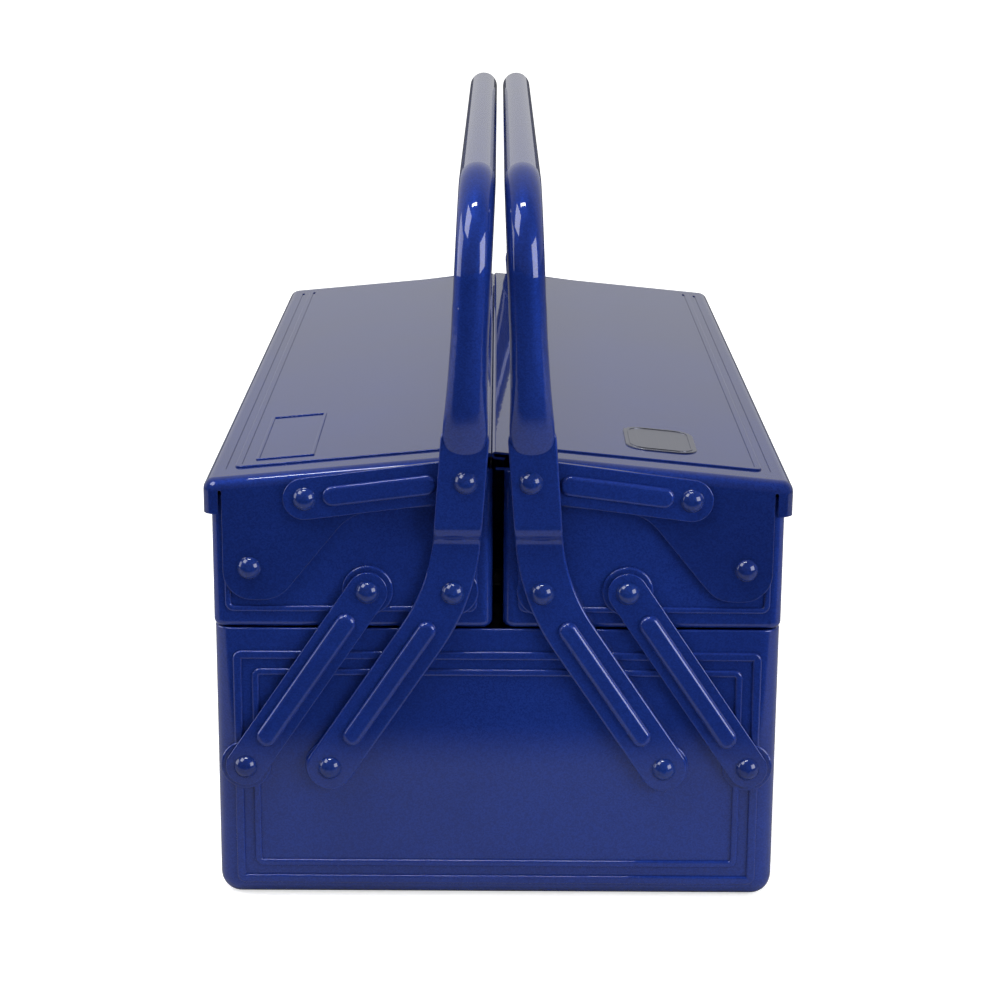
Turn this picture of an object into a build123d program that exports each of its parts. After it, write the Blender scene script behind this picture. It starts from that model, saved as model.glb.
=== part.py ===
from build123d import *

import os
from math import atan2, cos, hypot, radians, sin, tan

# Two-tier cantilever tool box of pressed sheet steel.
# X runs across the box, Y along it and Z up; the origin is the middle of the underside.
# Right-hand pieces (+X) and the front end (-Y) are modelled, and the others are mirrored from them.
# Points written as (x, z) lie on an end of the box; depths are counted outwards along Y from the middle.

# Sheets and clearances
SHEET = 0.8
FACE_GAP = 0.3
PIVOT_CLEARANCE = 0.05
RIM_HEM_DEPTH = 5.0
RIM_RADIUS = 0.75
EDGE_SHARE = 0.8
RIB_EDGE_SHARE = 0.92
CUT_MARGIN = 5.0

# Base box
BOX_WIDTH = 214.4
BOX_LENGTH = 404.0
BASE_HEIGHT = 109.5
BASE_RADIUS = 8.0

# Trays
TRAY_SPACING = 4.0
TRAY_DEPTH = 61.7
TRAY_CORNER_RADIUS = 4.2
TRAY_FLOOR_RADIUS = 2.6

# Pressed beads and pivot bosses on the end walls
BEAD_HEIGHT = 1.1
BEAD_EDGE_RADIUS = 0.9
BEAD_CORNER_RADIUS = 3.4
BASE_OUTER_BEAD_INSET = 7.0
BASE_OUTER_BEAD_WIDTH = 3.4
BASE_INNER_BEAD_INSET = 14.0
BASE_INNER_BEAD_WIDTH = 2.8
BASE_BEAD_RIM_DROP = 1.8
BASE_BEAD_FLOOR_DROP = 0.8
TRAY_BEAD_INSET = 4.6
TRAY_BEAD_SEAM_INSET = 5.6
TRAY_BEAD_FLOOR_RISE = 6.4
TRAY_BEAD_RIM_DROP = 4.5
TRAY_BEAD_WIDTH = 2.4
BOSS_RADIUS = 9.7
BOSS_HEIGHT = 1.3
BOSS_EDGE_RADIUS = 0.8

# Pivots of the cantilever
BASE_PIVOT_INSET = 11.4
BASE_PIVOT_DROP = 54.6
PIVOT_SPACING = 32.1
TRAY_PIVOT_X = 16.8
LINK_RISE = 69.8

# Lids
LID_SLOPE = 5.5
LID_HEADROOM = 6.3
LID_OVERHANG = 2.8
LID_FLANGE_DEPTH = 12.8
LID_EDGE_RADIUS = 4.4
LID_CORNER_RADIUS = 5.0
LID_SEAM_OFFSET = 2.4
LID_SEAM_HEM_WIDTH = 5.0
LID_SEAM_HEM_HOLLOW = 1.2
LID_SEAM_NOTCH = 5.5
LID_FIELD_RISE = 0.7
LID_FIELD_EDGE_RADIUS = 0.5
LID_FIELD_OUTER_MARGIN = 10.7
LID_FIELD_END_MARGIN = 15.0
LID_FIELD_SEAM_MARGIN = 8.0
LID_FIELD_CORNER_RADIUS = 3.0
LID_GROOVE_MARGIN = 7.8
LID_INNER_GROOVE_MARGIN = 13.7
LID_GROOVE_WIDTH = 1.2
LID_GROOVE_DEPTH = 0.4

# Lid end flaps with their hinge ears
LID_HINGE_INSET = 14.1
LID_HINGE_RISE = 23.9
EAR_SIDE = 9.9
EAR_DROP = 12.6
EAR_TOE = 10.8
EAR_OUTER_RADIUS = 11.0
EAR_INNER_RADIUS = 13.0
EAR_SWEEP_ANGLE = 51.0
EAR_SWEEP_RADIUS = 18.0
EAR_SLIT_WIDTH = 1.2
EAR_SLIT_DROP = 4.5
FLAP_DEPTH = 17.5
FLAP_SEAM_X = 6.0
FLAP_CORNER_RADIUS = 4.0
FLAP_EDGE_RADIUS = 0.4

# Label frame on the left lid and bare badge on the right lid
LABEL_WIDTH = 22.4
LABEL_LENGTH = 72.0
LABEL_FIELD_MARGIN = 7.4
LABEL_BEAD_WIDTH = 1.4
LABEL_BEAD_HEIGHT = 0.5
LABEL_CORNER_RADIUS = 0.8
BADGE_WIDTH = 27.5
BADGE_LENGTH = 37.0
BADGE_SIDE_DISTANCE = 47.6
BADGE_END_DISTANCE = 46.2
BADGE_CORNER_RADIUS = 8.0
BADGE_THICKNESS = 0.5

# Links
OUTER_LINK_WIDTH = 15.2
OUTER_LINK_RIB_WIDTH = 8.0
OUTER_LINK_RIB_GAP = 11.0
OUTER_LINK_RIB_HEIGHT = 2.1
LID_LINK_WIDTH = 16.0
LID_LINK_RIB_WIDTH = 7.8
LID_LINK_RIB_OUTER_GAP = 6.8
LID_LINK_RIB_INNER_GAP = 11.0
LINK_THICKNESS = 1.6
LINK_EDGE_RADIUS = 0.4
LID_LINK_RIB_HEIGHT = 1.6
LINK_COLLAR_RADIUS = 6.5
LID_LINK_OUTER_INSET = 35.2
LID_LINK_OUTER_DROP = 10.0
LID_LINK_INNER_X = 12.0
LID_LINK_INNER_DROP = 8.15

# Handles: a tube flattened at both ends to a strap
ARM_WIDTH = 18.0
ARM_THICKNESS = 2.4
ARM_BEND_RADIUS = 80.0
ARM_LEAN = 4.2
ARM_EDGE_RADIUS = 0.9
ARM_RIB_WIDTH = 7.4
ARM_RIB_HEIGHT = 2.1
ARM_RIB_BASE_GAP = 12.0
ARM_RIB_TRAY_GAP = 14.0
JOG_RISE = 21.2
JOG_HEIGHT = 4.4
JOG_BEND_RADIUS = 4.5
STRAP_TOP_RISE = 6.2
FLARE_OVERLAP = 5.3
FLARE_HEIGHT = 53.0
TUBE_RADIUS = 6.8
TUBE_WALL = 1.2
GRIP_RISE = 98.9
GRIP_SPACING = 16.6
GRIP_BEND_RADIUS = 30.0

# The tube's round form starts just inside the strap and opens out at first quickly, as the powers set
FLARE_TOE_MARGIN = 0.3
FLARE_TOE_WIDTH = 8.0
FLARE_STEPS = 6
FLARE_POWER = 3
FLARE_SIDE_POWER = 2

# Rivets
RIVET_RADIUS = 2.5
RIVET_HEAD_RADIUS = 4.4
RIVET_HEAD_HEIGHT = 2.6
RIVET_TAIL_RADIUS = 4.0
RIVET_TAIL_HEIGHT = 1.2
FLUSH_TAIL_HEIGHT = 0.7

# Sizes that follow from the ones above
half_width = BOX_WIDTH / 2
half_length = BOX_LENGTH / 2
rivet_hole_radius = RIVET_RADIUS + PIVOT_CLEARANCE
slope_angle = radians(LID_SLOPE)
tray_floor = BASE_HEIGHT + FACE_GAP
tray_seam_x = TRAY_SPACING / 2
tray_crest = tray_floor + TRAY_DEPTH
lid_crest = tray_crest + LID_HEADROOM
lid_side_x = half_width + LID_OVERHANG

# Depths of the layers on each end, from the walls outwards
flap_inner = half_length + BEAD_HEIGHT + FACE_GAP
flap_outer = flap_inner + SHEET
lid_link_inner = flap_outer + FACE_GAP
lid_link_outer = lid_link_inner + LINK_THICKNESS
link_inner = half_length + BOSS_HEIGHT + FACE_GAP
link_outer = link_inner + LINK_THICKNESS
arm_outer = link_inner + ARM_THICKNESS
strap_inner = lid_link_outer + LID_LINK_RIB_HEIGHT + FACE_GAP
strap_outer = strap_inner + ARM_THICKNESS
tube_depth = strap_inner + TUBE_RADIUS

# Line of the grip
grip_x = GRIP_SPACING / 2
grip_z = lid_crest + GRIP_RISE


def lid_top(x):
    """Height of a lid's sloping border at a distance x from the middle of the box."""
    return lid_crest - x * tan(slope_angle)


def tray_rim(x):
    """Height of a tray's sloping rim at a distance x from the middle of the box."""
    return tray_crest - x * tan(slope_angle)


def along_slope(x):
    """Distance down the lid's slope of a point at a distance x from the middle of the box."""
    return x / cos(slope_angle)


# Pivots of the right-hand side, as (x, z)
base_link_pivot = (half_width - BASE_PIVOT_INSET, BASE_HEIGHT - BASE_PIVOT_DROP)
base_arm_pivot = (base_link_pivot[0] - PIVOT_SPACING, base_link_pivot[1])
tray_arm_pivot = (TRAY_PIVOT_X, base_arm_pivot[1] + LINK_RISE)
tray_link_pivot = (tray_arm_pivot[0] + PIVOT_SPACING, tray_arm_pivot[1])
lid_hinge_pivot = (half_width - LID_HINGE_INSET, tray_floor + LID_HINGE_RISE)
lid_link_x = half_width - LID_LINK_OUTER_INSET
lid_link_pivot = (lid_link_x, lid_top(lid_link_x) - LID_LINK_OUTER_DROP)
arm_link_pivot = (LID_LINK_INNER_X, lid_top(LID_LINK_INNER_X) - LID_LINK_INNER_DROP)

# Top of the right lid: the plane's X runs down the slope to the outside, its Y along the box
lid_plane = Plane(
    origin=(0, 0, lid_crest),
    x_dir=(cos(slope_angle), 0, -sin(slope_angle)),
    z_dir=(sin(slope_angle), 0, cos(slope_angle)),
)
slope_axis = Axis((0, 0, 0), lid_plane.z_dir)


def end_plane(depth):
    """Plane square to Y at the front end, facing outwards, whose X and Y are (x, z)."""
    return Plane.XZ.offset(depth)


def discs(pivots, radius, depth):
    """Round faces at the pivots, on the end plane at a depth."""
    with BuildSketch(end_plane(depth)) as faces:
        with Locations(*pivots):
            Circle(radius)
    return faces.sketch


def bar_face(start, end, width, depth):
    """Round-ended bar between two points, on the end plane at a depth."""
    middle = ((start[0] + end[0]) / 2, (start[1] + end[1]) / 2)
    with BuildSketch(end_plane(depth)) as face:
        SlotCenterPoint(middle, end, width)
    return face.sketch


def toward(start, end, distance):
    """Point at a distance from the start on the way to the end."""
    share = distance / hypot(end[0] - start[0], end[1] - start[1])
    return (start[0] + share * (end[0] - start[0]), start[1] + share * (end[1] - start[1]))


def foremost_edges(part):
    """Edges that lie furthest out at the front end."""
    return part.edges().group_by(Axis.Y)[0]


def reflected(part, *planes):
    """Copy of a part, mirrored in each plane in turn."""
    for plane in planes:
        with BuildPart() as image:
            mirror(part, about=plane)
        part = image.part
    return part


def pressed_beads(frames, inset):
    """Closed beads on both end walls, as solids; inset gives the sheet's inner side.

    Each frame is a list of corners of the bead's outer outline and the bead's width.
    """
    root = half_length - BASE_RADIUS
    with BuildPart() as beads:
        for corners, width in frames:
            with BuildSketch(end_plane(root)) as ring:
                with BuildLine():
                    FilletPolyline(*corners, radius=BEAD_CORNER_RADIUS, close=True)
                make_face()
                if inset:
                    offset(amount=-inset)
                offset(amount=2 * inset - width, mode=Mode.SUBTRACT)
            extrude(amount=BASE_RADIUS + BEAD_HEIGHT - inset)
        if not inset:
            fillet(foremost_edges(beads), BEAD_EDGE_RADIUS)
        mirror(about=Plane.XZ)
    return beads.part


def pressed_bosses(pivots, height, inset):
    """Round bosses on both end walls, as solids; inset gives the sheet's inner side."""
    root = half_length - BASE_RADIUS
    with BuildPart() as bosses:
        extrude(discs(pivots, BOSS_RADIUS - inset, root), amount=BASE_RADIUS + height - inset)
        if not inset:
            fillet(foremost_edges(bosses), min(BOSS_EDGE_RADIUS, height * EDGE_SHARE))
        mirror(about=Plane.XZ)
    return bosses.part


def pivot_bores(pivots, radius):
    """Bores along Y through everything at the pivots."""
    reach = tube_depth + TUBE_RADIUS
    with BuildPart() as bores:
        extrude(discs(pivots, radius, -reach), amount=2 * reach)
    return bores.part


# Base box
def base_form(inset, height):
    """Drawn tub of the base, as a solid that stands inset from the outside."""
    with BuildPart() as form:
        with BuildSketch(Plane.XY.offset(inset)):
            Rectangle(BOX_WIDTH - 2 * inset, BOX_LENGTH - 2 * inset)
        extrude(amount=height - inset)
        floor_edges = form.faces().sort_by(Axis.Z)[0].edges()
        fillet(form.edges().filter_by(Axis.Z) + floor_edges, BASE_RADIUS - inset)
    return form.part


def base_frame(inset):
    """Corners of a bead's outline on the base's end wall."""
    side = half_width - inset
    low = inset - BASE_BEAD_FLOOR_DROP
    high = BASE_HEIGHT - inset - BASE_BEAD_RIM_DROP
    return [(-side, low), (side, low), (side, high), (-side, high)]


def make_base_box():
    """Drawn base tub with pressed beads and bosses and a rim hemmed inwards."""
    frames = [
        (base_frame(BASE_OUTER_BEAD_INSET), BASE_OUTER_BEAD_WIDTH),
        (base_frame(BASE_INNER_BEAD_INSET), BASE_INNER_BEAD_WIDTH),
    ]
    right_pivots = [base_link_pivot, base_arm_pivot]
    pivots = right_pivots + [(-x, z) for x, z in right_pivots]
    with BuildPart() as box:
        add(base_form(0, BASE_HEIGHT))
        add(pressed_beads(frames, 0))
        add(pressed_bosses(pivots, BOSS_HEIGHT, 0))
        add(base_form(SHEET, BASE_HEIGHT - RIM_HEM_DEPTH), mode=Mode.SUBTRACT)
        add(base_form(2 * SHEET, BASE_HEIGHT + CUT_MARGIN), mode=Mode.SUBTRACT)
        add(pressed_beads(frames, SHEET), mode=Mode.SUBTRACT)
        add(pressed_bosses(pivots, BOSS_HEIGHT, SHEET), mode=Mode.SUBTRACT)
        add(pivot_bores(pivots, rivet_hole_radius), mode=Mode.SUBTRACT)
        fillet(box.edges().group_by(Axis.Z)[-1], RIM_RADIUS)
    return box.part


# Right tray
def tray_form(inset, rim_rise):
    """Drawn tub of the right tray, as a solid; rim_rise lifts or lowers its sloping top."""
    inner = tray_seam_x + inset
    outer = half_width - inset
    low = tray_floor + inset
    profile = [
        (inner, low),
        (outer, low),
        (outer, tray_rim(outer) + rim_rise),
        (inner, tray_rim(inner) + rim_rise),
    ]
    reach = half_length - inset
    with BuildPart() as form:
        with BuildSketch(end_plane(-reach)):
            Polygon(*profile, align=None)
        extrude(amount=2 * reach)
        fillet(form.edges().filter_by(Axis.Z), TRAY_CORNER_RADIUS - inset)
        fillet(form.faces().sort_by(Axis.Z)[0].edges(), TRAY_FLOOR_RADIUS - inset)
    return form.part


def make_tray():
    """Right tray: drawn tub with a pressed bead and three bosses on each end wall."""
    inner = tray_seam_x + TRAY_BEAD_SEAM_INSET
    outer = half_width - TRAY_BEAD_INSET
    low = tray_floor + TRAY_BEAD_FLOOR_RISE
    corners = [
        (inner, low),
        (outer, low),
        (outer, tray_rim(outer) - TRAY_BEAD_RIM_DROP),
        (inner, tray_rim(inner) - TRAY_BEAD_RIM_DROP),
    ]
    frames = [(corners, TRAY_BEAD_WIDTH)]
    link_pivots = [tray_link_pivot, tray_arm_pivot]
    with BuildPart() as tray:
        add(tray_form(0, 0))
        add(pressed_beads(frames, 0))
        add(pressed_bosses(link_pivots, BOSS_HEIGHT, 0))
        add(pressed_bosses([lid_hinge_pivot], BEAD_HEIGHT, 0))
        add(tray_form(SHEET, -RIM_HEM_DEPTH), mode=Mode.SUBTRACT)
        add(tray_form(2 * SHEET, CUT_MARGIN), mode=Mode.SUBTRACT)
        add(pressed_beads(frames, SHEET), mode=Mode.SUBTRACT)
        add(pressed_bosses(link_pivots, BOSS_HEIGHT, SHEET), mode=Mode.SUBTRACT)
        add(pressed_bosses([lid_hinge_pivot], BEAD_HEIGHT, SHEET), mode=Mode.SUBTRACT)
        add(pivot_bores(link_pivots + [lid_hinge_pivot], rivet_hole_radius), mode=Mode.SUBTRACT)
        fillet(tray.faces().sort_by(slope_axis)[-1].edges(), RIM_RADIUS)
    return tray.part


# Lids
def lid_form(inset, seam_x):
    """Outside of a lid, or its inside at an inset, as a solid that runs down past the ears."""
    outer = lid_side_x - inset
    low = lid_hinge_pivot[1] - EAR_DROP - CUT_MARGIN
    drop = inset / cos(slope_angle)
    profile = [
        (seam_x, low),
        (outer, low),
        (outer, lid_top(outer) - drop),
        (seam_x, lid_top(seam_x) - drop),
    ]
    reach = flap_outer - inset
    with BuildPart() as form:
        with BuildSketch(end_plane(-reach)):
            Polygon(*profile, align=None)
        extrude(amount=2 * reach)
        side = form.faces().sort_by(Axis.X)[-1]
        fillet(side.edges().filter_by(Axis.Z), LID_CORNER_RADIUS - inset)
        top = form.faces().sort_by(slope_axis)[-1]
        fillet(top.edges() - top.edges().group_by(Axis.X)[0], LID_EDGE_RADIUS - inset)
    return form.part


def lid_field(inset):
    """Raised field of a lid's top, as a solid; inset gives the sheet's inner side."""
    inner = along_slope(LID_FIELD_SEAM_MARGIN) + inset
    outer = along_slope(lid_side_x - LID_FIELD_OUTER_MARGIN) - inset
    length = 2 * (flap_outer - LID_FIELD_END_MARGIN - inset)
    with BuildPart() as field:
        with BuildSketch(lid_plane.offset(-LID_EDGE_RADIUS)):
            with Locations(((inner + outer) / 2, 0)):
                RectangleRounded(outer - inner, length, LID_FIELD_CORNER_RADIUS - inset)
        extrude(amount=LID_EDGE_RADIUS + LID_FIELD_RISE - inset)
        if not inset:
            fillet(field.faces().sort_by(slope_axis)[-1].edges(), LID_FIELD_EDGE_RADIUS)
    return field.part


def flap_cut(seam_x):
    """All that is cut from a lid's ends below its flaps, ears and side flange."""
    hinge_x, hinge_z = lid_hinge_pivot
    ear_x = hinge_x + EAR_SIDE
    toe_x = hinge_x - EAR_TOE
    ear_low = hinge_z - EAR_DROP
    below = ear_low - 2 * CUT_MARGIN
    beside = lid_side_x + CUT_MARGIN
    flange_low = lid_top(lid_side_x) - LID_FLANGE_DEPTH
    slit_x = ear_x + EAR_SLIT_WIDTH
    slit_high = lid_top(ear_x) - EAR_SLIT_DROP
    slit_radius = EAR_SLIT_WIDTH / 2 * EDGE_SHARE
    sweep_angle = radians(EAR_SWEEP_ANGLE)
    climb = lid_top(toe_x) - FLAP_DEPTH - ear_low
    sweep = climb / (sin(sweep_angle) - tan(slope_angle) * cos(sweep_angle))
    sweep_end = (toe_x - sweep * cos(sweep_angle), ear_low + sweep * sin(sweep_angle))
    seam_high = lid_top(FLAP_SEAM_X) - LID_EDGE_RADIUS - SHEET
    outline = [
        ((beside, below), 0),
        ((beside, flange_low), 0),
        ((slit_x, flange_low), 0),
        ((slit_x, slit_high), slit_radius),
        ((ear_x, slit_high), slit_radius),
        ((ear_x, ear_low), EAR_OUTER_RADIUS),
        ((toe_x, ear_low), EAR_INNER_RADIUS),
        (sweep_end, EAR_SWEEP_RADIUS),
        ((FLAP_SEAM_X, lid_top(FLAP_SEAM_X) - FLAP_DEPTH), FLAP_CORNER_RADIUS),
        ((FLAP_SEAM_X, seam_high), 0),
        ((seam_x - CUT_MARGIN, seam_high), 0),
        ((seam_x - CUT_MARGIN, below), 0),
    ]
    points = [point for point, radius in outline]
    radii = [radius for point, radius in outline]
    with BuildPart() as cut:
        with BuildSketch(end_plane(-flap_outer - CUT_MARGIN)):
            with BuildLine():
                FilletPolyline(*points, radius=radii, close=True)
            make_face()
        extrude(amount=2 * (flap_outer + CUT_MARGIN))
    return cut.part


def flap_edges(lid):
    """Outer edges along the lower outlines of a lid's two end flaps."""
    flaps = lid.faces().filter_by(Axis.Y).group_by(Axis.Y)
    edges = flaps[0].edges() + flaps[-1].edges()
    return edges.filter_by(lambda edge: edge.center().Z < lid_top(edge.center().X) - FLAP_DEPTH)


def seam_hem(seam_x, hollow):
    """Folded hem along a lid's edge at the seam, with its round side towards the other lid."""
    depth = 2 * SHEET + hollow
    start = along_slope(seam_x)
    width = LID_SEAM_HEM_WIDTH
    reach = flap_outer - LID_EDGE_RADIUS
    hem_plane = Plane(origin=lid_plane.origin, x_dir=lid_plane.x_dir, z_dir=(0, -1, 0))
    fold = (start + depth / 2, -depth / 2)
    middle = (start + width / 2 + depth / 4, -depth / 2)
    with BuildPart() as hem:
        with BuildSketch(hem_plane.offset(-reach)):
            with Locations(middle):
                Rectangle(width - depth / 2, depth)
            with Locations(fold):
                Circle(depth / 2)
            if hollow:
                with Locations(middle):
                    Rectangle(width - depth / 2, hollow, mode=Mode.SUBTRACT)
                with Locations(fold):
                    Circle(hollow / 2, mode=Mode.SUBTRACT)
        extrude(amount=2 * reach)
    return hem.part


def make_lid(seam_x, hollow):
    """Right-hand lid whose edge at the seam lies at seam_x, with a hem of a given hollow."""
    hem_radius = SHEET + hollow / 2
    plate_x = seam_x + hem_radius
    hem = seam_hem(seam_x, hollow)
    groove_x = along_slope(lid_side_x - LID_GROOVE_MARGIN)
    inner_groove_x = along_slope(lid_side_x - LID_INNER_GROOVE_MARGIN)
    groove_length = 2 * (flap_outer - LID_FIELD_END_MARGIN)
    notch_reach = flap_outer - LID_EDGE_RADIUS
    with BuildPart() as lid:
        add(lid_form(0, plate_x))
        add(lid_field(0))
        add(lid_form(SHEET, plate_x - CUT_MARGIN), mode=Mode.SUBTRACT)
        add(lid_field(SHEET), mode=Mode.SUBTRACT)
        add(flap_cut(seam_x), mode=Mode.SUBTRACT)
        with BuildSketch(lid_plane.offset(-LID_GROOVE_DEPTH)):
            with Locations((groove_x, 0)):
                SlotOverall(groove_length, LID_GROOVE_WIDTH, rotation=90)
        extrude(amount=LID_FIELD_RISE, mode=Mode.SUBTRACT)
        with BuildSketch(lid_plane.offset(LID_FIELD_RISE - LID_GROOVE_DEPTH)):
            with Locations((inner_groove_x, 0)):
                SlotOverall(groove_length - 2 * LID_FIELD_CORNER_RADIUS, LID_GROOVE_WIDTH, rotation=90)
        extrude(amount=LID_FIELD_RISE, mode=Mode.SUBTRACT)
        with BuildSketch(Plane.XY.offset(lid_crest - CUT_MARGIN)):
            with Locations((0, -flap_outer), (0, flap_outer)):
                Rectangle(2 * LID_SEAM_NOTCH, 2 * (flap_outer - notch_reach))
        extrude(amount=2 * CUT_MARGIN, mode=Mode.SUBTRACT)
        add(hem)
        fillet(flap_edges(lid), FLAP_EDGE_RADIUS)
        add(pivot_bores([lid_hinge_pivot], rivet_hole_radius), mode=Mode.SUBTRACT)
    return lid.part


def make_label_frame():
    """Thin raised frame for a label, near the front outer corner of a right-hand lid's field."""
    outer = along_slope(lid_side_x - LID_FIELD_OUTER_MARGIN) - LABEL_FIELD_MARGIN
    front = LID_FIELD_END_MARGIN + LABEL_FIELD_MARGIN - flap_outer
    with BuildPart() as frame:
        with BuildSketch(lid_plane.offset(LID_FIELD_RISE - SHEET / 2)):
            with Locations((outer - LABEL_WIDTH / 2, front + LABEL_LENGTH / 2)):
                RectangleRounded(LABEL_WIDTH, LABEL_LENGTH, LABEL_CORNER_RADIUS)
            offset(amount=-LABEL_BEAD_WIDTH, mode=Mode.SUBTRACT)
        extrude(amount=SHEET / 2 + LABEL_BEAD_HEIGHT)
        fillet(frame.faces().sort_by(slope_axis)[-1].edges(), LABEL_BEAD_HEIGHT * EDGE_SHARE)
    return frame.part


def make_badge():
    """Bare badge plate on the front part of the right lid's field."""
    with BuildPart() as badge:
        badge_x = along_slope(lid_side_x - BADGE_SIDE_DISTANCE)
        with BuildSketch(lid_plane.offset(LID_FIELD_RISE)):
            with Locations((badge_x, BADGE_END_DISTANCE - flap_outer)):
                RectangleRounded(BADGE_WIDTH, BADGE_LENGTH, BADGE_CORNER_RADIUS)
        extrude(amount=BADGE_THICKNESS)
        fillet(badge.faces().sort_by(slope_axis)[-1].edges(), BADGE_THICKNESS / 2)
    return badge.part


# Links
def make_link(start, end, width, rib_width, rib_height, rib_gaps, inner_depth):
    """Front link bar between two pivots, with a pressed rib on its outer face."""
    rib_start = toward(start, end, rib_gaps[0] + rib_width / 2)
    rib_end = toward(end, start, rib_gaps[1] + rib_width / 2)
    with BuildPart() as rib:
        rib_face = bar_face(rib_start, rib_end, rib_width, inner_depth)
        extrude(rib_face, amount=LINK_THICKNESS + rib_height)
        fillet(foremost_edges(rib), rib_height * RIB_EDGE_SHARE)
    with BuildPart() as link:
        extrude(bar_face(start, end, width, inner_depth), amount=LINK_THICKNESS)
        fillet(foremost_edges(link), LINK_EDGE_RADIUS)
        add(rib.part)
        add(pivot_bores([start, end], rivet_hole_radius), mode=Mode.SUBTRACT)
    return link.part


def make_lid_link():
    """Front lid link: a collar carries the handle's strap, and sunk seats take its rivets' flush tails."""
    gaps = (LID_LINK_RIB_OUTER_GAP, LID_LINK_RIB_INNER_GAP)
    bar = make_link(
        lid_link_pivot,
        arm_link_pivot,
        LID_LINK_WIDTH,
        LID_LINK_RIB_WIDTH,
        LID_LINK_RIB_HEIGHT,
        gaps,
        lid_link_inner,
    )
    seat_radius = RIVET_TAIL_RADIUS + FACE_GAP
    with BuildPart() as link:
        add(bar)
        extrude(
            discs([arm_link_pivot], LINK_COLLAR_RADIUS, lid_link_inner),
            amount=LINK_THICKNESS + LID_LINK_RIB_HEIGHT,
        )
        add(pivot_bores([arm_link_pivot], rivet_hole_radius), mode=Mode.SUBTRACT)
        extrude(
            discs([lid_link_pivot, arm_link_pivot], seat_radius, lid_link_inner),
            amount=FLUSH_TAIL_HEIGHT + FACE_GAP,
            mode=Mode.SUBTRACT,
        )
    return link.part


# Handles
def arm_path():
    """Middle line of the strap on the end plane, from the base pivot up to the flare."""
    top_z = lid_crest + STRAP_TOP_RISE
    top_x = tray_arm_pivot[0] - (top_z - tray_arm_pivot[1]) * tan(radians(ARM_LEAN))
    return [base_arm_pivot, tray_arm_pivot, (top_x, top_z)]


def make_strap():
    """Flat strap at the front end, jogged outwards between the tray pivot and the lid link."""
    path = arm_path()
    low_z = base_arm_pivot[1] - ARM_WIDTH
    high_z = path[-1][1] + ARM_WIDTH
    jog_z = tray_arm_pivot[1] + JOG_RISE
    jog_end_z = jog_z + JOG_HEIGHT
    jog_angle = atan2(strap_inner - link_inner, JOG_HEIGHT)
    outer_drop = ARM_THICKNESS * tan(jog_angle / 2)
    far_radius = JOG_BEND_RADIUS + ARM_THICKNESS
    section = [
        ((-link_inner, low_z), 0),
        ((-link_inner, jog_z), far_radius),
        ((-strap_inner, jog_end_z), JOG_BEND_RADIUS),
        ((-strap_inner, high_z), 0),
        ((-strap_outer, high_z), 0),
        ((-strap_outer, jog_end_z - outer_drop), far_radius),
        ((-arm_outer, jog_z - outer_drop), JOG_BEND_RADIUS),
        ((-arm_outer, low_z), 0),
    ]
    points = [point for point, radius in section]
    radii = [radius for point, radius in section]
    with BuildPart() as strap:
        with BuildSketch(end_plane(link_inner - SHEET)):
            with BuildLine():
                FilletPolyline(*path, radius=ARM_BEND_RADIUS)
            trace(line_width=ARM_WIDTH)
            with Locations(path[0], path[-1]):
                Circle(ARM_WIDTH / 2)
        extrude(amount=tube_depth - link_inner)
        with BuildSketch(Plane.YZ):
            with BuildLine():
                FilletPolyline(*points, radius=radii, close=True)
            make_face()
        extrude(amount=BOX_WIDTH, mode=Mode.INTERSECT)
        straight = strap.edges().filter_by(Axis.X) + strap.edges().filter_by(Axis.Y)
        fillet(strap.edges() - straight, ARM_EDGE_RADIUS)
    return strap.part


def tube_x(z):
    """Distance of a handle's middle line from the middle of the box, at a height above the strap."""
    top_x, top_z = arm_path()[-1]
    return top_x + (z - top_z) / (grip_z - top_z) * (grip_x - top_x)


def tube_plane(depth, height):
    """Plane square to a handle's middle line at a depth and a height above the strap."""
    top_x, top_z = arm_path()[-1]
    run = grip_x - top_x
    rise = grip_z - top_z
    return Plane(origin=(tube_x(height), -depth, height), x_dir=(rise, 0, -run), z_dir=(run, 0, rise))


def make_flare():
    """Front flare: the tube's round form, which grows from a narrow toe out of the strap's rounded end."""
    start_z = arm_path()[-1][1] - FLARE_OVERLAP
    height = FLARE_OVERLAP + FLARE_HEIGHT
    tube_width = 2 * TUBE_RADIUS
    toe_depth = ARM_THICKNESS - 2 * FLARE_TOE_MARGIN
    with BuildPart() as flare:
        with BuildSketch(tube_plane(strap_inner + ARM_THICKNESS / 2, start_z)):
            Ellipse(FLARE_TOE_WIDTH / 2, toe_depth / 2)
        for step in range(1, FLARE_STEPS):
            share = step / FLARE_STEPS
            flatness = (1 - share) ** FLARE_POWER
            width = tube_width + (1 - share) ** FLARE_SIDE_POWER * (ARM_WIDTH - tube_width)
            depth = tube_width + flatness * (toe_depth - tube_width)
            middle_depth = strap_inner + flatness * FLARE_TOE_MARGIN + depth / 2
            with BuildSketch(tube_plane(middle_depth, start_z + share * height)):
                Ellipse(width / 2, depth / 2)
        with BuildSketch(tube_plane(tube_depth, start_z + height)):
            Circle(TUBE_RADIUS)
        loft()
    return flare.part


def tube_along(points, radius):
    """Round bar along the bent line of the handle's tube."""
    with BuildPart() as tube:
        with BuildLine() as path:
            FilletPolyline(*points, radius=GRIP_BEND_RADIUS)
        with BuildSketch(tube_plane(tube_depth, points[0][2])):
            Circle(radius)
        sweep(path=path.line)
    return tube.part


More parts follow.
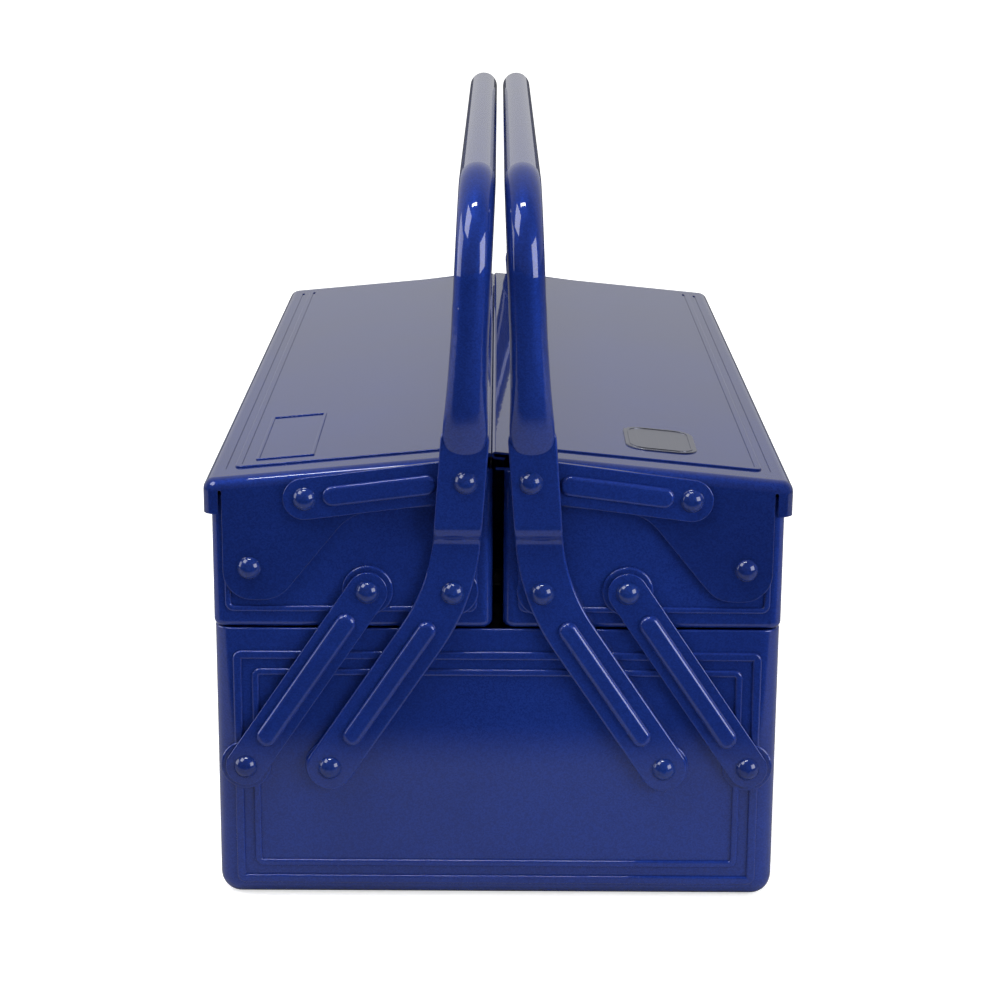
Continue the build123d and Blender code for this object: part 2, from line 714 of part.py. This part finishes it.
def make_handle():
    """Right handle: tube bent to a grip, with a flattened strap at each end."""
    start_z = arm_path()[-1][1] + FLARE_HEIGHT
    start_x = tube_x(start_z)
    points = [
        (start_x, -tube_depth, start_z),
        (grip_x, -tube_depth, grip_z),
        (grip_x, tube_depth, grip_z),
        (start_x, tube_depth, start_z),
    ]
    pivots = [base_arm_pivot, tray_arm_pivot, arm_link_pivot]
    rib_start = toward(base_arm_pivot, tray_arm_pivot, ARM_RIB_BASE_GAP + ARM_RIB_WIDTH / 2)
    rib_end = toward(tray_arm_pivot, base_arm_pivot, ARM_RIB_TRAY_GAP + ARM_RIB_WIDTH / 2)
    with BuildPart() as rib:
        rib_face = bar_face(rib_start, rib_end, ARM_RIB_WIDTH, link_inner)
        extrude(rib_face, amount=ARM_THICKNESS + ARM_RIB_HEIGHT)
        fillet(foremost_edges(rib), ARM_RIB_HEIGHT * RIB_EDGE_SHARE)
    with BuildPart() as end:
        add(make_strap())
        add(make_flare())
        add(rib.part)
        mirror(about=Plane.XZ)
    with BuildPart() as handle:
        add(end.part)
        add(tube_along(points, TUBE_RADIUS))
        add(tube_along(points, TUBE_RADIUS - TUBE_WALL), mode=Mode.SUBTRACT)
        add(pivot_bores(pivots, rivet_hole_radius), mode=Mode.SUBTRACT)
    return handle.part


# Rivets
def make_rivet(pivot, head_depth, seat_depth, tail_height):
    """Front rivet: a domed head at head_depth, a shank, and a tail on the inner side of seat_depth."""
    dome_radius = (RIVET_HEAD_RADIUS**2 + RIVET_HEAD_HEIGHT**2) / (2 * RIVET_HEAD_HEIGHT)
    axis_plane = Plane(origin=(pivot[0], 0, pivot[1]), x_dir=(1, 0, 0), z_dir=(0, 0, -1))
    with BuildPart() as rivet:
        with BuildSketch(axis_plane):
            with BuildLine():
                Polyline(
                    (0, head_depth + RIVET_HEAD_HEIGHT),
                    (0, seat_depth - tail_height),
                    (RIVET_TAIL_RADIUS, seat_depth - tail_height),
                    (RIVET_TAIL_RADIUS, seat_depth),
                    (RIVET_RADIUS, seat_depth),
                    (RIVET_RADIUS, head_depth),
                    (RIVET_HEAD_RADIUS, head_depth),
                )
                RadiusArc(
                    (RIVET_HEAD_RADIUS, head_depth), (0, head_depth + RIVET_HEAD_HEIGHT), -dome_radius
                )
            make_face()
        revolve(axis=Axis((pivot[0], 0, pivot[1]), (0, 1, 0)))
    return rivet.part


def rivet_pair(rivet):
    """A front rivet and its twin at the rear end."""
    with BuildPart() as pair:
        add(rivet)
        mirror(about=Plane.XZ)
    return pair.part


boss_seat = half_length + BOSS_HEIGHT - SHEET
ear_seat = half_length + BEAD_HEIGHT - SHEET
flush_seat = lid_link_inner + FLUSH_TAIL_HEIGHT
base_arm_rivet = make_rivet(base_arm_pivot, arm_outer + FACE_GAP, boss_seat, RIVET_TAIL_HEIGHT)
base_link_rivet = make_rivet(base_link_pivot, link_outer + FACE_GAP, boss_seat, RIVET_TAIL_HEIGHT)
tray_arm_rivet = make_rivet(tray_arm_pivot, arm_outer + FACE_GAP, boss_seat, RIVET_TAIL_HEIGHT)
tray_link_rivet = make_rivet(tray_link_pivot, link_outer + FACE_GAP, boss_seat, RIVET_TAIL_HEIGHT)
hinge_rivet = make_rivet(lid_hinge_pivot, flap_outer + FACE_GAP, ear_seat, RIVET_TAIL_HEIGHT)
handle_link_rivet = make_rivet(arm_link_pivot, strap_outer, flush_seat, FLUSH_TAIL_HEIGHT)
lid_link_rivet = make_rivet(lid_link_pivot, lid_link_outer, flush_seat, FLUSH_TAIL_HEIGHT)

outer_link = make_link(
    base_link_pivot,
    tray_link_pivot,
    OUTER_LINK_WIDTH,
    OUTER_LINK_RIB_WIDTH,
    OUTER_LINK_RIB_HEIGHT,
    (OUTER_LINK_RIB_GAP, OUTER_LINK_RIB_GAP),
    link_inner,
)
lid_link = make_lid_link()
tray = make_tray()
handle = make_handle()
right_lid = make_lid(-LID_SEAM_OFFSET, LID_SEAM_HEM_HOLLOW)
with BuildPart() as labelled_lid:
    add(make_lid(LID_SEAM_OFFSET + FACE_GAP, 0))
    add(make_label_frame())
left_lid = labelled_lid.part

pieces = {"base_box": make_base_box(), "lid_badge": make_badge()}
for name, rivet in (("base_arm_rivets", base_arm_rivet), ("base_link_rivets", base_link_rivet)):
    with BuildPart() as rivets:
        add(rivet_pair(rivet))
        mirror(about=Plane.YZ)
    pieces[name] = rivets.part

for side, planes, lid in (("right", (), right_lid), ("left", (Plane.YZ,), left_lid)):
    both_ends = {
        "tray": tray,
        "lid": lid,
        "handle": handle,
        "tray_arm_rivets": rivet_pair(tray_arm_rivet),
        "tray_link_rivets": rivet_pair(tray_link_rivet),
        "lid_hinge_rivets": rivet_pair(hinge_rivet),
        "handle_link_rivets": rivet_pair(handle_link_rivet),
    }
    one_end = {"outer_link": outer_link, "lid_link": lid_link, "lid_link_rivet": lid_link_rivet}
    for name, part in both_ends.items():
        pieces[f"{side}_{name}"] = reflected(part, *planes)
    for name, part in one_end.items():
        pieces[f"{side}_{name}_front"] = reflected(part, *planes)
        pieces[f"{side}_{name}_rear"] = reflected(part, Plane.XZ, *planes)

os.makedirs("parts", exist_ok=True)
for name, part in pieces.items():
    part.label = name
    export_step(part, f"parts/{name}.step")
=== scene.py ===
"""Dress the cantilever tool box: gloss blue enamel, bare badge plate, pale floor, studio light and camera."""

import logging
import math
from dataclasses import dataclass
from enum import Enum

import bmesh
import bpy
from mathutils import Matrix, Vector


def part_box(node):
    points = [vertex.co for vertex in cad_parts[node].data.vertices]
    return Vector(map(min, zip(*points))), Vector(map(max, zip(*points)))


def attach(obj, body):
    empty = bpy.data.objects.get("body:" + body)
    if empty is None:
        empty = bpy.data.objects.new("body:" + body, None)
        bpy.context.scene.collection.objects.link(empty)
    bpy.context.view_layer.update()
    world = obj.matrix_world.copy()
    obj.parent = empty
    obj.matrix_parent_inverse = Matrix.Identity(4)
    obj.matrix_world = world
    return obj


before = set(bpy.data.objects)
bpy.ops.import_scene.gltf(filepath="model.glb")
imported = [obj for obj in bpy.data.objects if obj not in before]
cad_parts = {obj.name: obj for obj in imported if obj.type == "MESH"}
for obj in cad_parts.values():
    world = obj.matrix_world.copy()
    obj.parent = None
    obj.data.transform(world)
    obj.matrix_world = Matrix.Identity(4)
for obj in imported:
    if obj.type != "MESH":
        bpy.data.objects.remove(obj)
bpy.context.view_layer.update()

LOG = logging.getLogger("tool_box")
Colour = tuple[float, float, float]
Point = tuple[float, float, float]

WHITE = (1.0, 1.0, 1.0, 1.0)
# Places of the colour sockets on the node that mixes two values of any kind
MIX_FACTOR, MIX_LOW, MIX_HIGH, MIX_RESULT = 0, 6, 7, 2
# Nodes with a flat top, which mirrors a low lamp whole
FLAT_TOPS = ("left_lid", "right_lid", "lid_badge")


class Side(Enum):
    """Half of the box that a tray, lid and handle belong to."""

    LEFT = "left"
    RIGHT = "right"


class End(Enum):
    """End of the box that a link belongs to."""

    FRONT = "front"
    REAR = "rear"


class ShaderSheet:
    """Node tree of one material or world, with short calls to add and join its nodes."""

    def __init__(self, owner: bpy.types.Material | bpy.types.World) -> None:
        """Empty the owner's tree.

        Args:
            owner: material or world whose nodes are laid out.
        """
        owner.use_nodes = True
        self.tree = owner.node_tree
        self.tree.nodes.clear()

    def join(self, source: bpy.types.NodeSocket, target: bpy.types.NodeSocket) -> None:
        """Join two sockets.

        Args:
            source: socket that gives the value.
            target: socket that takes it.
        """
        self.tree.links.new(source, target)

    def add(self, kind: str, settings: dict | None = None, **inputs: object) -> bpy.types.Node:
        """Add a node.

        Args:
            kind: node type, without the words ShaderNode.
            settings: properties of the node itself.
            inputs: values or sockets for its inputs, by name, with underscores for spaces.

        Returns:
            The new node.
        """
        node = self.tree.nodes.new("ShaderNode" + kind)
        for name, value in (settings or {}).items():
            setattr(node, name, value)
        for name, value in inputs.items():
            socket = node.inputs[name.replace("_", " ")]
            if isinstance(value, bpy.types.NodeSocket):
                self.join(value, socket)
            else:
                socket.default_value = value
        return node

    def ranged(self, value: bpy.types.NodeSocket, low: float, high: float,
               start: float = 0.0, stop: float = 1.0) -> bpy.types.NodeSocket:
        """Spread a value over a new range.

        Args:
            value: socket that gives the value.
            low: result at the start.
            high: result at the stop.
            start: value that gives low.
            stop: value that gives high.

        Returns:
            Socket with the result.
        """
        node = self.add("MapRange", {"interpolation_type": "SMOOTHSTEP"}, Value=value)
        for name, number in (("From Min", start), ("From Max", stop), ("To Min", low), ("To Max", high)):
            node.inputs[name].default_value = number
        return node.outputs["Result"]

    def blend(self, factor: bpy.types.NodeSocket, low: Colour, high: Colour) -> bpy.types.NodeSocket:
        """Mix two colours.

        Args:
            factor: socket with the share of the second colour.
            low: first colour.
            high: second colour.

        Returns:
            Socket with the mixed colour.
        """
        node = self.add("Mix", {"data_type": "RGBA"})
        self.join(factor, node.inputs[MIX_FACTOR])
        node.inputs[MIX_LOW].default_value = (*low, 1.0)
        node.inputs[MIX_HIGH].default_value = (*high, 1.0)
        return node.outputs[MIX_RESULT]


@dataclass(frozen=True)
class EnamelFinish:
    """Gloss metallic enamel: a flaked blue coat under clear lacquer with a slight orange peel."""

    name: str
    deep: Colour
    bright: Colour
    flake_size: float = 0.0005
    flake_contrast: float = 0.16
    cloud_size: float = 0.07
    cloud_detail: float = 3.0
    cloud_grain: float = 0.55
    cloud_low: float = 0.3
    cloud_high: float = 0.7
    peel_size: float = 0.0028
    peel_detail: float = 1.0
    peel_grain: float = 0.4
    peel_depth: float = 0.012
    peel_reach: float = 0.001
    metallic: float = 0.5
    roughness: float = 0.48
    roughness_swing: float = 0.04
    lacquer_roughness: float = 0.03
    lacquer_ior: float = 1.48

    def material(self) -> bpy.types.Material:
        """Lay out the enamel's shader.

        Returns:
            The material.
        """
        made = bpy.data.materials.new(self.name)
        sheet = ShaderSheet(made)
        place = sheet.add("TexCoord").outputs["Object"]
        cloud = sheet.add(
            "TexNoise", Vector=place, Scale=1 / self.cloud_size,
            Detail=self.cloud_detail, Roughness=self.cloud_grain,
        ).outputs["Fac"]
        flake = sheet.add("TexVoronoi", Vector=place, Scale=1 / self.flake_size)
        peel = sheet.add(
            "TexNoise", Vector=place, Scale=1 / self.peel_size,
            Detail=self.peel_detail, Roughness=self.peel_grain,
        )
        share = sheet.ranged(cloud, 0.0, 1.0, self.cloud_low, self.cloud_high)
        coat = sheet.blend(share, self.deep, self.bright)
        glint = sheet.add("SeparateColor", Color=flake.outputs["Color"])
        glint = sheet.ranged(glint.outputs["Red"], 1 - self.flake_contrast, 1 + self.flake_contrast)
        flaked = sheet.add("VectorMath", {"operation": "SCALE"}, Scale=glint)
        sheet.join(coat, flaked.inputs[0])
        ripple = sheet.add(
            "Bump", Height=peel.outputs["Fac"], Strength=self.peel_depth, Distance=self.peel_reach,
        ).outputs["Normal"]
        smooth, rough = self.roughness - self.roughness_swing, self.roughness + self.roughness_swing
        paint = sheet.add(
            "BsdfPrincipled",
            Base_Color=flaked.outputs["Vector"],
            Metallic=self.metallic,
            Roughness=sheet.ranged(cloud, smooth, rough),
            Specular_IOR_Level=0.0,
            Normal=ripple,
            Coat_Weight=1.0,
            Coat_Roughness=self.lacquer_roughness,
            Coat_IOR=self.lacquer_ior,
            Coat_Normal=ripple,
        )
        sheet.add("OutputMaterial", Surface=paint.outputs["BSDF"])
        return made


@dataclass(frozen=True)
class PlateFinish:
    """Satin aluminium plate, brushed along the box."""

    name: str
    dull: Colour
    pale: Colour
    stroke_width: float = 0.0004
    stroke_length: float = 0.03
    stroke_detail: float = 2.0
    groove_strength: float = 0.08
    groove_depth: float = 0.0002
    smooth: float = 0.26
    rough: float = 0.40

    def material(self) -> bpy.types.Material:
        """Lay out the plate's shader.

        Returns:
            The material.
        """
        made = bpy.data.materials.new(self.name)
        sheet = ShaderSheet(made)
        place = sheet.add("TexCoord").outputs["Object"]
        across, along = 1 / self.stroke_width, 1 / self.stroke_length
        stretched = sheet.add("Mapping", Vector=place, Scale=(across, along, across))
        stroke = sheet.add(
            "TexNoise", Vector=stretched.outputs["Vector"], Scale=1.0, Detail=self.stroke_detail,
        ).outputs["Fac"]
        groove = sheet.add("Bump", Height=stroke, Strength=self.groove_strength, Distance=self.groove_depth)
        plate = sheet.add(
            "BsdfPrincipled",
            Base_Color=sheet.blend(stroke, self.dull, self.pale),
            Metallic=1.0,
            Roughness=sheet.ranged(stroke, self.smooth, self.rough),
            Normal=groove.outputs["Normal"],
        )
        sheet.add("OutputMaterial", Surface=plate.outputs["BSDF"])
        return made


@dataclass(frozen=True)
class FloorFinish:
    """Plain pale floor, white to the camera; reflections see painted shade on it: a tone darker than its own,
    and a dark front part like the unlit room past a table's end.
    """

    name: str = "pale_floor"
    tone: float = 0.8
    veil: float = 0.6
    veil_near: float = 0.45
    veil_far: float = 1.6
    # Tones that only reflections see are painted shade: darker than the floor's own tone, and dark before the
    # box's front
    mirror_tone: float = 0.30
    painted_shade_tone: float = 0.015
    painted_shade_edge: float = -0.335
    painted_shade_fade: float = 0.07

    def material(self) -> bpy.types.Material:
        """Lay out the floor's shader.

        Returns:
            The material.
        """
        made = bpy.data.materials.new(self.name)
        sheet = ShaderSheet(made)
        rays = sheet.add("LightPath").outputs
        place = sheet.add("TexCoord").outputs["Object"]
        depth = sheet.add("SeparateXYZ", Vector=place).outputs["Y"]
        # Painted shade for glossy rays: the floor goes dark before the box's front, so the enamel reflects
        # shade there
        shade_span = (self.painted_shade_edge - self.painted_shade_fade, self.painted_shade_edge)
        mirrored = sheet.ranged(depth, self.painted_shade_tone, self.mirror_tone, *shade_span)
        tone = sheet.add("Mix", {"data_type": "FLOAT"}, Factor=rays["Is Glossy Ray"], A=self.tone, B=mirrored)
        matt = sheet.add("BsdfDiffuse", Color=tone.outputs["Result"])
        reach = sheet.add("VectorMath", {"operation": "LENGTH"})
        sheet.join(place, reach.inputs[0])
        veil = sheet.ranged(reach.outputs["Value"], self.veil, 1.0, self.veil_near, self.veil_far)
        shown = sheet.add("Math", {"operation": "MULTIPLY"})
        sheet.join(veil, shown.inputs[0])
        sheet.join(rays["Is Camera Ray"], shown.inputs[1])
        white = sheet.add("Emission", Color=WHITE, Strength=shown.outputs["Value"])
        both = sheet.add("AddShader")
        sheet.join(matt.outputs["BSDF"], both.inputs[0])
        sheet.join(white.outputs["Emission"], both.inputs[1])
        sheet.add("OutputMaterial", Surface=both.outputs["Shader"])
        return made


@dataclass(frozen=True)
class Palette:
    """The materials of the box."""

    enamel: bpy.types.Material
    rivet: bpy.types.Material
    badge: bpy.types.Material


def paint_node(name: str, finish: bpy.types.Material) -> None:
    """Give a node of the frame its finish.

    Args:
        name: node's name.
        finish: material that it takes.
    """
    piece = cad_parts[name]
    piece.data.materials.clear()
    piece.data.materials.append(finish)
    LOG.info("%s takes %s", name, finish.name)


@dataclass
class BaseBox:
    """Deep base tub with the rivets that carry arms and links."""

    tub: str = "base_box"
    rivets: tuple[str, ...] = ("base_arm_rivets", "base_link_rivets")

    def dress(self, palette: Palette) -> None:
        """Paint the tub and its rivets.

        Args:
            palette: materials of the box.
        """
        paint_node(self.tub, palette.enamel)
        for name in self.rivets:
            paint_node(name, palette.rivet)


@dataclass
class TraySide:
    """Tray, lid, handle and links of one side."""

    side: Side
    sheets: tuple[str, ...] = ("tray", "lid", "handle")
    rivets: tuple[str, ...] = (
        "tray_arm_rivets", "tray_link_rivets", "lid_hinge_rivets", "handle_link_rivets",
    )
    links: tuple[str, ...] = ("outer_link", "lid_link")
    link_rivet: str = "lid_link_rivet"

    def dress(self, palette: Palette) -> None:
        """Paint the side's sheets, links and rivets.

        Args:
            palette: materials of the box.
        """
        for name in self.sheets:
            paint_node(f"{self.side.value}_{name}", palette.enamel)
        for name in self.rivets:
            paint_node(f"{self.side.value}_{name}", palette.rivet)
        for end in End:
            for name in self.links:
                paint_node(f"{self.side.value}_{name}_{end.value}", palette.enamel)
            paint_node(f"{self.side.value}_{self.link_rivet}_{end.value}", palette.rivet)


@dataclass
class BadgePlate:
    """Bare badge on the right lid, with a raised rim round it."""

    node: str = "lid_badge"
    body: str = "right_lid"
    slope: float = math.radians(5.5)
    rim_margin: float = 0.0016
    rim_width: float = 0.0007
    rim_height: float = 0.00025
    corner_radius: float = 0.0064
    corner_steps: int = 8

    def build(self) -> bpy.types.Object:
        """Model the rim as a rounded ring on the sloping plate.

        Returns:
            The rim's object.
        """
        low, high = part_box(self.node)
        middle = (low + high) / 2
        width = (high.x - low.x) / math.cos(self.slope) - 2 * self.rim_margin
        length = high.y - low.y - 2 * self.rim_margin
        ring = bmesh.new()
        bmesh.ops.create_grid(ring, x_segments=1, y_segments=1, size=0.5)
        bmesh.ops.scale(ring, vec=(width, length, 1.0), verts=ring.verts)
        bmesh.ops.bevel(
            ring, geom=ring.verts[:], offset=self.corner_radius, affect="VERTICES",
            segments=self.corner_steps, profile=0.5, material=-1,
        )
        field = ring.faces[:]
        bmesh.ops.inset_region(
            ring, faces=field, thickness=self.rim_width, use_boundary=True, use_even_offset=True,
        )
        bmesh.ops.delete(ring, geom=field, context="FACES")
        raised = bmesh.ops.extrude_face_region(ring, geom=ring.faces[:])
        lifted = [item for item in raised["geom"] if isinstance(item, bmesh.types.BMVert)]
        bmesh.ops.translate(ring, vec=(0.0, 0.0, 2 * self.rim_height), verts=lifted)
        bmesh.ops.recalc_face_normals(ring, faces=ring.faces[:])
        place = Matrix.Translation(middle) @ Matrix.Rotation(self.slope, 4, "Y")
        bmesh.ops.transform(ring, matrix=place, verts=ring.verts)
        mesh = bpy.data.meshes.new("badge_rim")
        ring.to_mesh(mesh)
        ring.free()
        rim = bpy.data.objects.new("badge_rim", mesh)
        bpy.context.scene.collection.objects.link(rim)
        return rim

    def dress(self, palette: Palette) -> None:
        """Finish the plate and its rim.

        Args:
            palette: materials of the box.
        """
        paint_node(self.node, palette.badge)
        rim = self.build()
        rim.data.materials.append(palette.badge)
        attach(rim, self.body)
        LOG.info("%s rides on %s", rim.name, self.body)


@dataclass(frozen=True)
class Lamp:
    """One rectangular softbox."""

    name: str
    place: Point
    target: Point
    width: float
    height: float
    watts: float
    glints: bool = True
    spared: tuple[str, ...] = ()

    def build(self) -> bpy.types.Object:
        """Hang the softbox and turn it to its target.

        Returns:
            The lamp's object.
        """
        data = bpy.data.lights.new(self.name, "AREA")
        data.shape = "RECTANGLE"
        data.size = self.width
        data.size_y = self.height
        data.energy = self.watts
        lamp = bpy.data.objects.new(self.name, data)
        lamp.location = self.place
        lamp.rotation_euler = (Vector(self.target) - Vector(self.place)).to_track_quat("-Z", "Y").to_euler()
        lamp.visible_camera = False
        lamp.visible_glossy = self.glints
        bpy.context.scene.collection.objects.link(lamp)
        if self.spared:
            self.leave_out(lamp)
        return lamp

    def leave_out(self, lamp: bpy.types.Object) -> None:
        """Keep the lamp off the spared nodes, whose flat tops would mirror all of it in low views.

        Args:
            lamp: the lamp's object.
        """
        group = bpy.data.collections.new(f"{self.name}_spared")
        for name in self.spared:
            group.objects.link(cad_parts[name])
        for entry in group.collection_objects:
            entry.light_linking.link_state = "EXCLUDE"
        lamp.light_linking.receiver_collection = group


@dataclass
class Studio:
    """Pale floor, soft lamps and a world that is bright behind the box and dark before it."""

    floor_reach: float = 14.0
    floor_drop: float = 0.0003
    world_front: float = 0.12
    world_back: float = 0.56
    front_end: float = -0.2
    back_start: float = 0.45
    lamps: tuple[Lamp, ...] = (
        Lamp("top_softbox", (0.0, -0.45, 1.45), (0.0, -0.1, 0.12), 0.7, 0.7, 13.0, glints=False),
        Lamp("strip_lamp", (-0.12, -0.45, 1.4), (-0.12, -0.1, 0.12), 0.5, 0.09, 5.0),
        Lamp("left_softbox", (-0.75, -0.6, 1.1), (0.0, -0.12, 0.12), 0.6, 0.6, 8.0),
        Lamp("right_softbox", (1.1, -0.9, 0.5), (0.0, -0.15, 0.12), 0.8, 0.7, 12.0, spared=FLAT_TOPS),
        Lamp("right_fill", (1.0, -0.95, 0.55), (0.0, -0.15, 0.12), 0.8, 0.7, 8.0, glints=False),
        Lamp("side_panel", (-1.3, -0.05, 0.45), (0.0, -0.05, 0.12), 0.9, 0.7, 7.0, spared=FLAT_TOPS),
    )

    def build(self) -> None:
        """Lay the floor, hang the lamps and set the world."""
        sheet = bmesh.new()
        bmesh.ops.create_grid(sheet, x_segments=1, y_segments=1, size=self.floor_reach)
        bmesh.ops.translate(sheet, vec=(0.0, 0.0, -self.floor_drop), verts=sheet.verts)
        mesh = bpy.data.meshes.new("floor")
        sheet.to_mesh(mesh)
        sheet.free()
        floor = bpy.data.objects.new("floor", mesh)
        floor.data.materials.append(FloorFinish().material())
        bpy.context.scene.collection.objects.link(floor)
        for lamp in self.lamps:
            lamp.build()
        self.set_world()

    def set_world(self) -> None:
        """Make the world white to the camera, and brighter behind the box than before it."""
        world = bpy.data.worlds.new("studio")
        bpy.context.scene.world = world
        sheet = ShaderSheet(world)
        way = sheet.add("SeparateXYZ", Vector=sheet.add("TexCoord").outputs["Generated"]).outputs["Y"]
        level = sheet.ranged(way, self.world_front, self.world_back, self.front_end, self.back_start)
        seen = sheet.add("LightPath").outputs["Is Camera Ray"]
        strength = sheet.add("Math", {"operation": "MAXIMUM"})
        sheet.join(level, strength.inputs[0])
        sheet.join(seen, strength.inputs[1])
        sky = sheet.add("Background", Color=WHITE, Strength=strength.outputs["Value"])
        sheet.add("OutputWorld", Surface=sky.outputs["Background"])


@dataclass(frozen=True)
class PhotoCamera:
    """Camera at the photograph's viewing angle."""

    lens: float = 88.779
    sensor: float = 36.0
    nearest: float = 0.01
    farthest: float = 50.0
    place: Point = (-0.000812, -1.089505, 0.394654)
    pitch: float = 0.258535
    yaw: float = 0.001649
    roll: float = 0.005989

    def build(self) -> bpy.types.Object:
        """Set up the camera and make it the scene's own.

        Returns:
            The camera's object.
        """
        data = bpy.data.cameras.new("photo_camera")
        data.lens = self.lens
        data.sensor_width = self.sensor
        data.dof.use_dof = False
        data.clip_start = self.nearest
        data.clip_end = self.farthest
        ahead = Vector((
            math.sin(self.yaw) * math.cos(self.pitch),
            math.cos(self.yaw) * math.cos(self.pitch),
            -math.sin(self.pitch),
        ))
        level = Vector((math.cos(self.yaw), -math.sin(self.yaw), 0.0))
        upright = level.cross(ahead)
        right = level * math.cos(self.roll) + upright * math.sin(self.roll)
        up = upright * math.cos(self.roll) - level * math.sin(self.roll)
        turn = Matrix((right, up, -ahead)).transposed().to_4x4()
        camera = bpy.data.objects.new("photo_camera", data)
        camera.matrix_world = Matrix.Translation(self.place) @ turn
        bpy.context.scene.collection.objects.link(camera)
        bpy.context.scene.camera = camera
        return camera


def main() -> None:
    """Dress the box and set up the studio and the camera."""
    logging.basicConfig(level=logging.INFO, format="%(name)s: %(message)s")
    bpy.context.scene.view_settings.view_transform = "Standard"
    palette = Palette(
        enamel=EnamelFinish("blue_enamel", (0.0068, 0.0205, 0.145), (0.0080, 0.0250, 0.172)).material(),
        rivet=EnamelFinish(
            "rivet_enamel", (0.004, 0.012, 0.085), (0.005, 0.018, 0.115), peel_depth=0.0, metallic=0.2,
        ).material(),
        badge=PlateFinish("badge_plate", (0.22, 0.23, 0.28), (0.32, 0.33, 0.40)).material(),
    )
    BaseBox().dress(palette)
    for side in Side:
        TraySide(side).dress(palette)
    BadgePlate().dress(palette)
    Studio().build()
    PhotoCamera().build()


if __name__ == "__main__":
    main()
